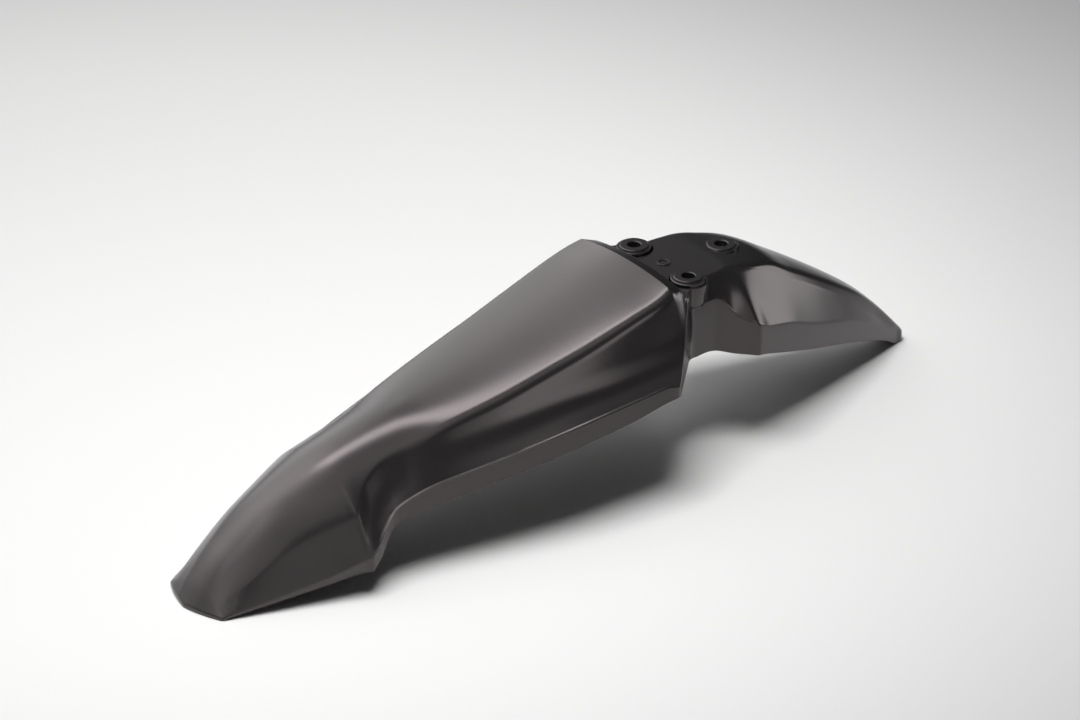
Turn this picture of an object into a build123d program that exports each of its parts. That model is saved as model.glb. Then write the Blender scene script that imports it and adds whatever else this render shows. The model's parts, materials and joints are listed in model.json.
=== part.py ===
from build123d import *
from dataclasses import dataclass
from math import hypot
import os

# Frame: X runs forward to the nose, Y to the left, Z up. The origin lies midway between
# the two front screws, on the seats of their bosses.

# Overall lengths, measured from the front screws (mm)
NOSE_REACH = 472.0
NOSE_CORNER_REACH = 460.0
EAR_REACH = 344.0
WING_REAR_REACH = 57.0
STEP_REACH = 25.0
WAIST_FRONT_REACH = 8.0
WAIST_REAR_REACH = -23.0
HIP_REACH = -47.0
TAIL_REACH = -262.0
REST_DEPTH = 155.0

# Half widths
NOSE_HALF_WIDTH = 36.0
EAR_HALF_WIDTH = 75.0
WING_HALF_WIDTH = 97.0
CROWN_HALF_WIDTH = 60.0
WAIST_HALF_WIDTH = 48.0
HIP_HALF_WIDTH = 70.0
SPINE_HALF_WIDTH = 38.5
TAIL_HALF_WIDTH = 9.0

# Wall, step and edges
WALL = 3.0
DECK_DROP = 4.0
STEP_RISE = 8.5
BEVEL_LENGTH = 12.0
BEVEL_RISE = 5.0
CORNER_RADIUS = 8.0
WAIST_RADIUS = 14.0
NOSE_FULLNESS = 0.8
TAIL_FULLNESS = 5.0

# Screw bosses
BOLT_SPACING = 70.0
REAR_BOLT_SETBACK = 63.0
REAR_SEAT_DROP = 4.5
REAR_BOSS_DEPTH = 10.0
HOLE_DIAMETER = 11.0
FLANGE_DIAMETER = 29.0
COLUMN_DIAMETER = 33.0
COLLAR_DIAMETER = 24.0
COLLAR_HEIGHT = 1.5
BOSS_DEPTH = 20.0

# Plain round mark on the deck
MARK_REACH = -3.0
MARK_DIAMETER = 11.0
MARK_WIDTH = 1.2
MARK_HEIGHT = 0.6

# How far the drawn solids run past the skin before they are trimmed
MARGIN = 12.0

# Distance between the sections of a loft
SECTION_STEP = 12.0

# Largest share of a side that a rounded corner takes up
CORNER_SHARE = 0.45


@dataclass(frozen=True)
class Trace:
    """A line through knots, each a station and a share of one length, smooth over their places."""

    length: float
    knots: tuple
    place: object = float

    def at(self, station):
        """Return the line's value at a station, by cubic pieces between knots."""
        knots = self.knots
        last = len(knots) - 2
        i = max(k for k in range(last + 1) if k == 0 or knots[k][0] <= station)
        slopes = [self.slope(i), self.slope(i + 1)]
        (s0, v0), (s1, v1) = knots[i], knots[i + 1]
        span = self.place(s1) - self.place(s0)
        t = (station - s0) / (s1 - s0)
        value = v0 * (1 + 2 * t) * (1 - t) ** 2 + v1 * t * t * (3 - 2 * t)
        value += span * (slopes[0] * t * (1 - t) ** 2 - slopes[1] * t * t * (1 - t))
        return value * self.length

    def slope(self, k):
        """Return the slope at knot k, from its neighbours."""
        (s0, v0), (s1, v1) = self.knots[max(k - 1, 0)], self.knots[min(k + 1, len(self.knots) - 1)]
        return (v1 - v0) / (self.place(s1) - self.place(s0))


@dataclass(frozen=True)
class Skin:
    """The lines that one stretch of the skin is lofted along."""

    top: Trace
    edge_half: Trace
    edge_height: Trace
    foot_half: Trace
    foot_height: Trace
    foot_end: float
    lip_half: Trace
    lip_height: Trace
    roll: Trace
    bend: float


def front_station(x):
    """Return the station at X ahead of the step: 0 at the step, 1 at the ears and 2 at the nose."""
    if x <= EAR_REACH:
        return (x - STEP_REACH) / (EAR_REACH - STEP_REACH)
    return 1 + (x - EAR_REACH) / (NOSE_REACH - EAR_REACH)


def front_x(station):
    """Return X at a station ahead of the step."""
    if station <= 1:
        return STEP_REACH + station * (EAR_REACH - STEP_REACH)
    return EAR_REACH + (station - 1) * (NOSE_REACH - EAR_REACH)


def tail_station(x):
    """Return the station at X behind the step: 0 at the front screws and 1 at the tail."""
    return x / TAIL_REACH


def spread(start, end):
    """Return X of the sections from start to end, evenly spread at about one section step."""
    count = round(abs(end - start) / SECTION_STEP)
    return [start + (end - start) * k / count for k in range(count + 1)]


# Front: a crown with a rolled edge, a channel at each side as far as the ears, then the beak's facets
LIP_HALF = Trace(WING_HALF_WIDTH, (
    (-0.1, 1.02), (0.1, 1), (0.25, 0.98), (0.4, 0.954), (0.55, 0.88), (0.7, 0.78), (0.8, 0.711),
    (0.9, 0.68), (0.95, 0.72), (1, 0.773), (1.25, 0.652), (1.5, 0.531), (1.75, 0.409), (1.9, 0.34),
    (2.1, 0.286)), front_x)
FRONT = Skin(
    top=Trace(REST_DEPTH, (
        (-0.1, 0.155), (0, 0.103), (0.15, 0.016), (0.3, -0.071), (0.4, -0.126), (0.55, -0.203),
        (0.7, -0.271), (0.8, -0.308), (0.9, -0.354), (1, -0.41), (1.25, -0.487), (1.5, -0.587),
        (1.75, -0.742), (1.9, -0.871), (2, -0.984), (2.1, -1.1)), front_x),
    edge_half=Trace(CROWN_HALF_WIDTH, (
        (-0.1, 1.13), (0, 1.1), (0.15, 1.05), (0.3, 1.0), (0.4, 0.945), (0.55, 0.867), (0.7, 0.75),
        (0.8, 0.663), (0.85, 0.627), (0.9, 0.63), (0.95, 0.708), (1, 0.907), (1.06, 0.875), (1.25, 0.75),
        (1.5, 0.634), (1.75, 0.516), (1.9, 0.441), (2.1, 0.35)), front_x),
    edge_height=Trace(REST_DEPTH, (
        (-0.1, 0.112), (0, 0.064), (0.15, -0.02), (0.3, -0.111), (0.4, -0.166), (0.55, -0.245),
        (0.7, -0.319), (0.8, -0.376), (0.85, -0.406), (0.9, -0.445), (0.95, -0.497), (1, -0.584),
        (1.06, -0.6), (1.25, -0.642), (1.5, -0.723), (1.75, -0.845), (1.9, -0.942), (2, -1.032),
        (2.1, -1.13)), front_x),
    foot_half=Trace(WING_HALF_WIDTH, (
        (-0.1, 0.735), (0, 0.732), (0.15, 0.727), (0.3, 0.711), (0.55, 0.639), (0.7, 0.582), (0.8, 0.557),
        (0.9, 0.567), (0.95, 0.603), (1, 0.665))),
    foot_height=Trace(REST_DEPTH, (
        (-0.1, -0.316), (0, -0.329), (0.15, -0.358), (0.3, -0.39), (0.55, -0.429), (0.7, -0.442),
        (0.8, -0.458), (0.85, -0.49), (0.9, -0.552), (0.95, -0.652), (1, -0.755))),
    foot_end=1,
    lip_half=LIP_HALF,
    lip_height=Trace(REST_DEPTH, (
        (-0.1, -0.33), (0.1, -0.366), (0.25, -0.394), (0.4, -0.424), (0.55, -0.473), (0.7, -0.524),
        (0.8, -0.564), (0.85, -0.588), (0.9, -0.622), (0.95, -0.69), (1, -0.781), (1.25, -0.848),
        (1.5, -0.903), (1.75, -0.952), (1.9, -0.984), (2, -1.048), (2.1, -1.14)), front_x),
    roll=Trace(CROWN_HALF_WIDTH, (
        (-0.1, 0.23), (0, 0.23), (0.3, 0.16), (0.55, 0.11), (1, 0.08), (1.25, 0.2), (1.75, 0.25),
        (2.1, 0.2)), front_x),
    bend=9.0)

# Tail: a raised spine, a crease at its foot, sloping shoulders and upright skirts
TAIL = Skin(
    top=Trace(REST_DEPTH, (
        (-0.1, -0.012), (0.057, -0.012), (0.118, -0.016), (0.176, -0.028), (0.237, -0.047),
        (0.34, -0.082), (0.443, -0.18), (0.565, -0.308), (0.679, -0.437), (0.782, -0.567),
        (0.882, -0.723), (1, -0.938), (1.05, -1.035))),
    edge_half=Trace(SPINE_HALF_WIDTH, (
        (-0.1, 1), (0.118, 0.99), (0.176, 1), (0.237, 0.97), (0.34, 0.9), (0.443, 0.79), (0.565, 0.667),
        (0.679, 0.542), (0.782, 0.417), (0.882, 0.278), (1, 0.139), (1.05, 0.09))),
    edge_height=Trace(REST_DEPTH, (
        (-0.1, -0.018), (0.057, -0.02), (0.118, -0.023), (0.176, -0.033), (0.237, -0.056), (0.34, -0.111),
        (0.443, -0.214), (0.565, -0.34), (0.679, -0.463), (0.782, -0.587), (0.882, -0.74), (1, -0.95),
        (1.05, -1.045))),
    foot_half=Trace(SPINE_HALF_WIDTH, (
        (-0.1, 1.1), (0.118, 1.083), (0.237, 1.07), (0.34, 1), (0.443, 0.917), (0.565, 0.806),
        (0.679, 0.667), (0.782, 0.514), (0.882, 0.333), (1, 0.194), (1.05, 0.14))),
    foot_height=Trace(REST_DEPTH, (
        (-0.1, -0.054), (0.057, -0.049), (0.118, -0.049), (0.176, -0.056), (0.237, -0.08), (0.34, -0.162),
        (0.443, -0.264), (0.565, -0.391), (0.679, -0.521), (0.782, -0.661), (0.882, -0.798), (1, -0.963),
        (1.05, -1.055))),
    foot_end=1.05,
    lip_half=Trace(HIP_HALF_WIDTH, (
        (-0.1, 1), (0.176, 1), (0.237, 0.97), (0.34, 0.87), (0.443, 0.743), (0.565, 0.621),
        (0.679, 0.507), (0.782, 0.379), (0.882, 0.257), (1, 0.13), (1.05, 0.11))),
    lip_height=Trace(REST_DEPTH, (
        (-0.1, -0.471), (0.057, -0.471), (0.118, -0.42), (0.147, -0.352), (0.176, -0.302),
        (0.237, -0.359), (0.34, -0.415), (0.443, -0.477), (0.565, -0.568), (0.679, -0.655),
        (0.782, -0.745), (0.882, -0.852), (1, -0.981), (1.05, -1.07))),
    roll=Trace(SPINE_HALF_WIDTH, ((-0.1, 0.12), (0.34, 0.14), (0.679, 0.13), (1, 0.05), (1.05, 0.05))),
    bend=1.2)

# Lower edge of the lip and skirts, seen from the side
FRONT_LOWER_EDGE = Trace(REST_DEPTH, (
    (-0.1, -0.47), (0.1, -0.43), (0.25, -0.482), (0.4, -0.52), (0.55, -0.57), (0.7, -0.618),
    (0.8, -0.653), (0.86, -0.668), (0.9, -0.675), (0.93, -0.712), (0.96, -0.795), (1, -0.868)))
TAIL_LOWER_EDGE = Trace(REST_DEPTH, (
    (-0.1, -0.47), (0, -0.447), (0.05, -0.443), (0.118, -0.47), (0.19, -0.483), (0.3, -0.547),
    (0.443, -0.636), (0.65, -0.755), (0.8, -0.855), (0.9, -0.935), (0.965, -1), (1.1, -1)))

OUTLINE_STATIONS = (0.25, 0.4, 0.55, 0.7, 0.8, 0.9, 0.95)
FRONT_EDGE_STATIONS = (1, 0.96, 0.93, 0.9, 0.86, 0.8, 0.55, 0.25, 0.1)
TAIL_EDGE_STATIONS = (0, 0.05, 0.118, 0.19, 0.3, 0.443, 0.65, 0.8, 0.9, 0.965)


def toward(start, end, distance):
    """Return the point that lies a distance from start on the way to end, within the corner's share."""
    length = hypot(end[0] - start[0], end[1] - start[1])
    share = min(distance / length, CORNER_SHARE)
    return (start[0] + share * (end[0] - start[0]), start[1] + share * (end[1] - start[1]))


def inset(before, corner, after, wall):
    """Return a corner of a path, moved to the path's inner side by a wall."""
    sides = []
    for start, end in ((before, corner), (corner, after)):
        length = hypot(end[0] - start[0], end[1] - start[1])
        sides.append(((end[1] - start[1]) / length, (start[0] - end[0]) / length))
    (ay, az), (by, bz) = sides
    reach = wall / (1 + ay * by + az * bz)
    return (corner[0] + reach * (ay + by), corner[1] + reach * (az + bz))


def draw_section(skin, station_of, x, wall):
    """Return the closed profile across the part at X, its skin moved in by a wall."""
    fall = skin.top.at(station_of(x - SECTION_STEP / 2)) - skin.top.at(station_of(x + SECTION_STEP / 2))
    depth = wall * hypot(1, fall / SECTION_STEP)
    station = station_of(x)
    top = skin.top.at(station)
    edge = (skin.edge_half.at(station), skin.edge_height.at(station))
    lip = (skin.lip_half.at(station), skin.lip_height.at(station))
    foot = ((edge[0] + lip[0]) / 2, (edge[1] + lip[1]) / 2)
    if station <= skin.foot_end:
        foot = (skin.foot_half.at(station), skin.foot_height.at(station))
    beyond = (2 * lip[0] - foot[0], 2 * lip[1] - foot[1])
    apex = (0, 2 * top - edge[1])
    path = (apex, edge, foot, lip, beyond)
    edge, foot, lip = (inset(*path[k:k + 3], depth) for k in range(3))
    top = top - depth
    roll = skin.roll.at(station)
    share = min(roll / edge[0], CORNER_SHARE)
    apex = (0, (2 * top - edge[1] * (1 - share)) / (1 + share))
    crown_end = toward(edge, apex, roll)
    face_start = toward(edge, foot, roll)
    face_end = toward(foot, edge, skin.bend)
    ledge_start = toward(foot, lip, skin.bend)
    reach = hypot(lip[0] - foot[0], lip[1] - foot[1])
    outer = (lip[0] + (lip[0] - foot[0]) * MARGIN / reach, lip[1] + (lip[1] - foot[1]) * MARGIN / reach)
    bottom = -REST_DEPTH - 4 * MARGIN
    right = [crown_end, face_start, face_end, ledge_start, outer]
    left = [(-y, z) for y, z in right]
    with BuildSketch(Plane.YZ.offset(x)) as profile:
        with BuildLine():
            Bezier(left[0], apex, right[0])
            for side, sign in ((right, 1), (left, -1)):
                Bezier(side[0], (sign * edge[0], edge[1]), side[1])
                Line(side[1], side[2])
                Bezier(side[2], (sign * foot[0], foot[1]), side[3])
                Polyline(side[3], side[4], (side[4][0], bottom))
            Line((left[4][0], bottom), (right[4][0], bottom))
        make_face()
    return profile.sketch


def draw_step(wall):
    """Return what is cut off above the deck, seen from the side and moved in by a wall."""
    deck = -DECK_DROP - wall
    with BuildSketch(Plane.XZ) as cut:
        with BuildLine():
            Polyline(
                (TAIL_REACH, deck), (STEP_REACH + wall, deck), (STEP_REACH + wall, STEP_RISE - wall),
                (STEP_REACH + wall + BEVEL_LENGTH, STEP_RISE - wall + BEVEL_RISE),
                (STEP_REACH + wall + BEVEL_LENGTH, REST_DEPTH), (TAIL_REACH, REST_DEPTH), close=True)
        make_face()
    return cut.sketch


def draw_outline(wall):
    """Return the outline in plan, moved in by a wall: half with rounded corners, then its mirror image."""
    tail_middle = ((HIP_REACH + TAIL_REACH) / 2, (HIP_HALF_WIDTH + TAIL_HALF_WIDTH) / 2 + TAIL_FULLNESS)
    points = [
        (TAIL_REACH, 0), (TAIL_REACH, TAIL_HALF_WIDTH), (TAIL_REACH + TAIL_HALF_WIDTH, TAIL_HALF_WIDTH),
        tail_middle, (HIP_REACH, HIP_HALF_WIDTH), (WAIST_REAR_REACH, WAIST_HALF_WIDTH),
        (WAIST_FRONT_REACH, WAIST_HALF_WIDTH), (WING_REAR_REACH, WING_HALF_WIDTH),
        *[(front_x(s), LIP_HALF.at(s)) for s in OUTLINE_STATIONS], (EAR_REACH, EAR_HALF_WIDTH),
        (NOSE_CORNER_REACH, NOSE_HALF_WIDTH), (NOSE_REACH, NOSE_FULLNESS * NOSE_HALF_WIDTH), (NOSE_REACH, 0)]
    ends = [(x, -y) for x, y in (points[1], points[-2])]
    around = [ends[0], *points, ends[1]]
    points = [inset(around[k], around[k + 1], around[k + 2], wall) for k in range(len(points))]
    tip, tip_middle, tail_end, tail_middle, hip, waist_rear, waist_front, wing = points[:8]
    ear, nose_corner, nose_middle, nose = points[-4:]
    with BuildSketch() as plan:
        with BuildLine():
            Bezier(tip, tip_middle, tail_end)
            Bezier(tail_end, tail_middle, hip)
            Polyline(hip, waist_rear, waist_front, wing)
            Spline(*points[7:-3])
            Line(ear, nose_corner)
            Bezier(nose_corner, nose_middle, nose)
            Line(nose, tip)
        make_face()
        for corner, radius in (
            (nose_corner, CORNER_RADIUS - wall), (ear, CORNER_RADIUS - wall), (wing, CORNER_RADIUS - wall),
            (waist_front, WAIST_RADIUS + wall), (waist_rear, WAIST_RADIUS + wall),
            (hip, WAIST_RADIUS - wall)):
            fillet(plan.vertices().sort_by_distance(corner)[0], radius)
        mirror(about=Plane.XZ)
    return plan.sketch


# Everything below the lower edge, seen from the side
with BuildSketch(Plane.XZ) as below:
    with BuildLine():
        lower = [(front_x(s), FRONT_LOWER_EDGE.at(s)) for s in FRONT_EDGE_STATIONS]
        lower += [(s * TAIL_REACH, TAIL_LOWER_EDGE.at(s)) for s in TAIL_EDGE_STATIONS]
        ends = [(NOSE_REACH + MARGIN, -REST_DEPTH), (TAIL_REACH - MARGIN, -REST_DEPTH)]
        base = -REST_DEPTH - 5 * MARGIN
        Spline(*lower)
        Polyline(
            lower[0], (NOSE_CORNER_REACH, -REST_DEPTH), ends[0], (ends[0][0], base), (ends[1][0], base),
            ends[1], lower[-1])
    make_face()

# Outer form: the front and the tail, cut back above the deck, then trimmed to both outlines
with BuildPart() as front:
    rows = spread(WAIST_FRONT_REACH, EAR_REACH) + spread(EAR_REACH, NOSE_REACH + MARGIN)[1:]
    loft(sections=[draw_section(FRONT, front_station, x, 0) for x in rows])

with BuildPart() as tail:
    rows = spread(WAIST_FRONT_REACH, TAIL_REACH - MARGIN)
    loft(sections=[draw_section(TAIL, tail_station, x, 0) for x in rows])

with BuildPart() as form:
    add(front.part)
    add(tail.part)
    extrude(draw_step(0), amount=2 * WING_HALF_WIDTH, both=True, mode=Mode.SUBTRACT)
    extrude(draw_outline(0), amount=2 * REST_DEPTH, both=True, mode=Mode.INTERSECT)
    extrude(below.sketch, amount=2 * WING_HALF_WIDTH, both=True, mode=Mode.SUBTRACT)

# Hollow underneath, one wall inside the outer form
with BuildPart() as front_hollow:
    rows = spread(WAIST_FRONT_REACH + WALL, EAR_REACH) + spread(EAR_REACH, NOSE_REACH + MARGIN)[1:]
    loft(sections=[draw_section(FRONT, front_station, x, WALL) for x in rows])

with BuildPart() as tail_hollow:
    rows = spread(WAIST_FRONT_REACH + WALL, TAIL_REACH + MARGIN)
    loft(sections=[draw_section(TAIL, tail_station, x, WALL) for x in rows])

with BuildPart() as hollow:
    add(front_hollow.part)
    add(tail_hollow.part)
    extrude(draw_step(WALL), amount=2 * WING_HALF_WIDTH, both=True, mode=Mode.SUBTRACT)
    extrude(draw_outline(WALL), amount=2 * REST_DEPTH, both=True, mode=Mode.INTERSECT)

# Screw seats: two in front on hollow columns, one behind on the spine
DOWN = (Align.CENTER, Align.CENTER, Align.MAX)
front_seats = [(0, BOLT_SPACING / 2, 0), (0, -BOLT_SPACING / 2, 0)]
rear_seat = (-REAR_BOLT_SETBACK, 0, -REAR_SEAT_DROP)

with BuildPart() as mudguard:
    add(form.part)
    with Locations(*front_seats):
        with Locations((0, 0, -DECK_DROP)):
            Cylinder(COLUMN_DIAMETER / 2, BOSS_DEPTH, align=DOWN)
    add(hollow.part, mode=Mode.SUBTRACT)
    with Locations(*front_seats):
        with Locations((0, 0, -DECK_DROP - WALL)):
            Cylinder(COLUMN_DIAMETER / 2 - WALL, BOSS_DEPTH, align=DOWN, mode=Mode.SUBTRACT)
    for seats, depth in ((front_seats, DECK_DROP + WALL), ([rear_seat], REAR_BOSS_DEPTH)):
        with Locations(*seats):
            with Locations((0, 0, -COLLAR_HEIGHT)):
                Cylinder(FLANGE_DIAMETER / 2, depth - COLLAR_HEIGHT, align=DOWN)
            Cylinder(COLLAR_DIAMETER / 2, depth, align=DOWN)
            Cylinder(HOLE_DIAMETER / 2, 4 * depth, mode=Mode.SUBTRACT)
    with Locations((MARK_REACH, 0, -DECK_DROP)):
        Cylinder(MARK_DIAMETER / 2, 2 * MARK_HEIGHT)
        with Locations((0, 0, MARK_HEIGHT / 2)):
            Cylinder(MARK_DIAMETER / 2 - MARK_WIDTH, MARK_HEIGHT, mode=Mode.SUBTRACT)

mudguard.part.label = "mudguard"
os.makedirs("parts", exist_ok=True)
export_step(mudguard.part, "parts/mudguard.step")
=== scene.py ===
"""Moulded motorcycle mudguard: a satin black skin, its screw seats and a plain studio."""

import json
import logging
import math
from collections.abc import Callable
from dataclasses import dataclass, field
from enum import Enum

import bmesh
import bpy
import numpy as np
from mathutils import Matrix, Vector

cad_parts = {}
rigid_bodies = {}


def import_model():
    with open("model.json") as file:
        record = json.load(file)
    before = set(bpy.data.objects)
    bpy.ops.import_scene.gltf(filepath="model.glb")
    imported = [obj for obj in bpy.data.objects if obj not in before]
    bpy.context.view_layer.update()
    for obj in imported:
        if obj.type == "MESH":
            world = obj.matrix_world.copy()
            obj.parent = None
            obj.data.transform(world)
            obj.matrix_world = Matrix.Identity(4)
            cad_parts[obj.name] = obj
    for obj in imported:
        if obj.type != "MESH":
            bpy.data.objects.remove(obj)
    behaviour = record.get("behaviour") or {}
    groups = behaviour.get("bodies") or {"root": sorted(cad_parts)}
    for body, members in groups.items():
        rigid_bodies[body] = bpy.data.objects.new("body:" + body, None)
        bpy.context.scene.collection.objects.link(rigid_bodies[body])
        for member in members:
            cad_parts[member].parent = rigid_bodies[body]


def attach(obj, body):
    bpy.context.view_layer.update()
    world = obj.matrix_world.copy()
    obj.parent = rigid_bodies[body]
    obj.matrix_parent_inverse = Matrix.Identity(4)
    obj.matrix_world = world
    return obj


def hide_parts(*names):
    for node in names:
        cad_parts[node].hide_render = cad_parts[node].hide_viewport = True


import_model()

LOG = logging.getLogger("mudguard")
MM = 0.001
CREASE_DEGREES = 32.0
MERGE_DISTANCE = 2e-6
SMALLEST_EDGE = 1e-6
MOST_SHARE = 0.45

Point = tuple[float, float]
Place = tuple[float, float, float]
Colour = tuple[float, float, float]


class Arithmetic(Enum):
    """What a step of arithmetic in a node tree works on."""

    NUMBERS = "ShaderNodeMath"
    VECTORS = "ShaderNodeVectorMath"


class Stretch(Enum):
    """The two stretches of the skin, ahead of and behind the waist."""

    FRONT = "front"
    TAIL = "tail"


@dataclass(frozen=True)
class Sizes:
    """Sizes of the part, in millimetres from the front screws."""

    nose_reach: float = 472.0
    nose_corner_reach: float = 460.0
    ear_reach: float = 344.0
    wing_rear_reach: float = 57.0
    step_reach: float = 25.0
    waist_front_reach: float = 8.0
    waist_rear_reach: float = -23.0
    hip_reach: float = -47.0
    tail_reach: float = -262.0
    rest_depth: float = 155.0
    nose_half_width: float = 36.0
    ear_half_width: float = 75.0
    wing_half_width: float = 97.0
    crown_half_width: float = 60.0
    waist_half_width: float = 48.0
    hip_half_width: float = 70.0
    spine_half_width: float = 38.5
    tail_half_width: float = 9.0
    wall: float = 3.0
    deck_drop: float = 4.0
    bevel_length: float = 12.0
    corner_radius: float = 8.0
    waist_radius: float = 14.0
    tail_fullness: float = 5.0
    bolt_spacing: float = 70.0
    rear_bolt_setback: float = 63.0
    rear_seat_drop: float = 4.5
    rear_boss_depth: float = 10.0
    hole_diameter: float = 11.0
    flange_diameter: float = 29.0
    column_diameter: float = 33.0
    collar_diameter: float = 24.0
    collar_height: float = 1.5
    boss_depth: float = 20.0
    mark_reach: float = -3.0
    mark_diameter: float = 11.0
    mark_width: float = 1.2
    mark_height: float = 0.6


SIZES = Sizes()


@dataclass(frozen=True)
class Trace:
    """A line through knots, each a station and a share of one length, smooth over their places."""

    length: float
    knots: tuple[Point, ...]
    place: Callable[[float], float] = float

    def slope(self, k: int) -> float:
        """Return the slope at knot k, from its neighbours."""
        (s0, v0), (s1, v1) = self.knots[max(k - 1, 0)], self.knots[min(k + 1, len(self.knots) - 1)]
        return (v1 - v0) / (self.place(s1) - self.place(s0))

    def at(self, station: float) -> float:
        """Evaluate the line by cubic pieces between its knots.

        Args:
            station: Place along the line.

        Returns:
            The line's value there, in millimetres.
        """
        last = len(self.knots) - 2
        i = max(k for k in range(last + 1) if k == 0 or self.knots[k][0] <= station)
        (s0, v0), (s1, v1) = self.knots[i], self.knots[i + 1]
        span = self.place(s1) - self.place(s0)
        t = (station - s0) / (s1 - s0)
        value = v0 * (1 + 2 * t) * (1 - t) ** 2 + v1 * t * t * (3 - 2 * t)
        value += span * (self.slope(i) * t * (1 - t) ** 2 - self.slope(i + 1) * t * t * (1 - t))
        return value * self.length


@dataclass(frozen=True)
class SkinLines:
    """The lines that one stretch of the skin follows."""

    top: Trace
    edge_half: Trace
    edge_height: Trace
    foot_half: Trace
    foot_height: Trace
    foot_end: float
    lip_half: Trace
    lip_height: Trace
    roll: Trace
    bend: float


def front_x(station: float) -> float:
    """Give X at a station ahead of the step.

    Args:
        station: 0 at the step, 1 at the ears and 2 at the nose.

    Returns:
        X in millimetres.
    """
    if station <= 1:
        return SIZES.step_reach + station * (SIZES.ear_reach - SIZES.step_reach)
    return SIZES.ear_reach + (station - 1) * (SIZES.nose_reach - SIZES.ear_reach)


# Ahead of the waist: a rolled crown, a channel at each side, then the beak's facets
LIP_HALF = Trace(SIZES.wing_half_width, (
    (-0.1, 1.02), (0.1, 1), (0.25, 0.98), (0.4, 0.954), (0.55, 0.88), (0.7, 0.78), (0.8, 0.711),
    (0.9, 0.68), (0.95, 0.72), (1, 0.773), (1.25, 0.662), (1.5, 0.552), (1.75, 0.44), (1.9, 0.374),
    (2.1, 0.3)), front_x)
FRONT = SkinLines(
    top=Trace(SIZES.rest_depth, (
        (-0.1, 0.155), (0, 0.103), (0.15, 0.016), (0.3, -0.071), (0.4, -0.126), (0.55, -0.203),
        (0.7, -0.271), (0.8, -0.308), (0.9, -0.354), (1, -0.41), (1.25, -0.487), (1.5, -0.587),
        (1.75, -0.742), (1.9, -0.871), (2, -0.984), (2.1, -1.1)), front_x),
    edge_half=Trace(SIZES.crown_half_width, (
        (-0.1, 0.74), (0, 0.9), (0.033, 1.0), (0.08, 1.055), (0.15, 1.05), (0.3, 1.0), (0.4, 0.945),
        (0.55, 0.867), (0.7, 0.75), (0.8, 0.663), (0.85, 0.627), (0.9, 0.63), (0.95, 0.708),
        (0.985, 0.84), (1, 0.905), (1.015, 0.897), (1.06, 0.873), (1.25, 0.75), (1.5, 0.634),
        (1.75, 0.516), (1.9, 0.441), (2.1, 0.35)), front_x),
    edge_height=Trace(SIZES.rest_depth, (
        (-0.1, 0.13), (0, 0.072), (0.033, 0.05), (0.08, 0.019), (0.15, -0.02), (0.3, -0.111),
        (0.4, -0.166), (0.55, -0.245), (0.7, -0.319), (0.8, -0.379), (0.85, -0.403), (0.9, -0.435),
        (0.95, -0.489), (0.985, -0.553), (1, -0.589), (1.015, -0.594), (1.06, -0.604), (1.25, -0.642),
        (1.5, -0.723), (1.75, -0.845), (1.9, -0.942), (2, -1.032), (2.1, -1.13)), front_x),
    foot_half=Trace(SIZES.wing_half_width, (
        (-0.1, 0.782), (0, 0.782), (0.15, 0.775), (0.3, 0.758), (0.55, 0.675), (0.7, 0.59), (0.8, 0.553),
        (0.85, 0.535), (0.9, 0.527), (0.95, 0.572), (1, 0.668))),
    foot_height=Trace(SIZES.rest_depth, (
        (-0.1, -0.25), (0, -0.264), (0.15, -0.293), (0.3, -0.332), (0.55, -0.392), (0.7, -0.43),
        (0.8, -0.465), (0.85, -0.505), (0.9, -0.546), (0.95, -0.606), (1, -0.687))),
    foot_end=1,
    lip_half=LIP_HALF,
    lip_height=Trace(SIZES.rest_depth, (
        (-0.1, -0.33), (0.1, -0.366), (0.25, -0.394), (0.4, -0.424), (0.55, -0.473), (0.7, -0.524),
        (0.8, -0.564), (0.85, -0.588), (0.9, -0.622), (0.95, -0.69), (1, -0.781), (1.25, -0.848),
        (1.5, -0.903), (1.75, -0.952), (1.9, -0.984), (2, -1.048), (2.1, -1.14)), front_x),
    roll=Trace(SIZES.crown_half_width, (
        (-0.1, 0.12), (0.08, 0.12), (0.3, 0.12), (0.55, 0.1), (0.8, 0.07), (1, 0.05), (1.25, 0.16),
        (1.75, 0.25), (2.1, 0.2)), front_x),
    bend=16.0)

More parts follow.
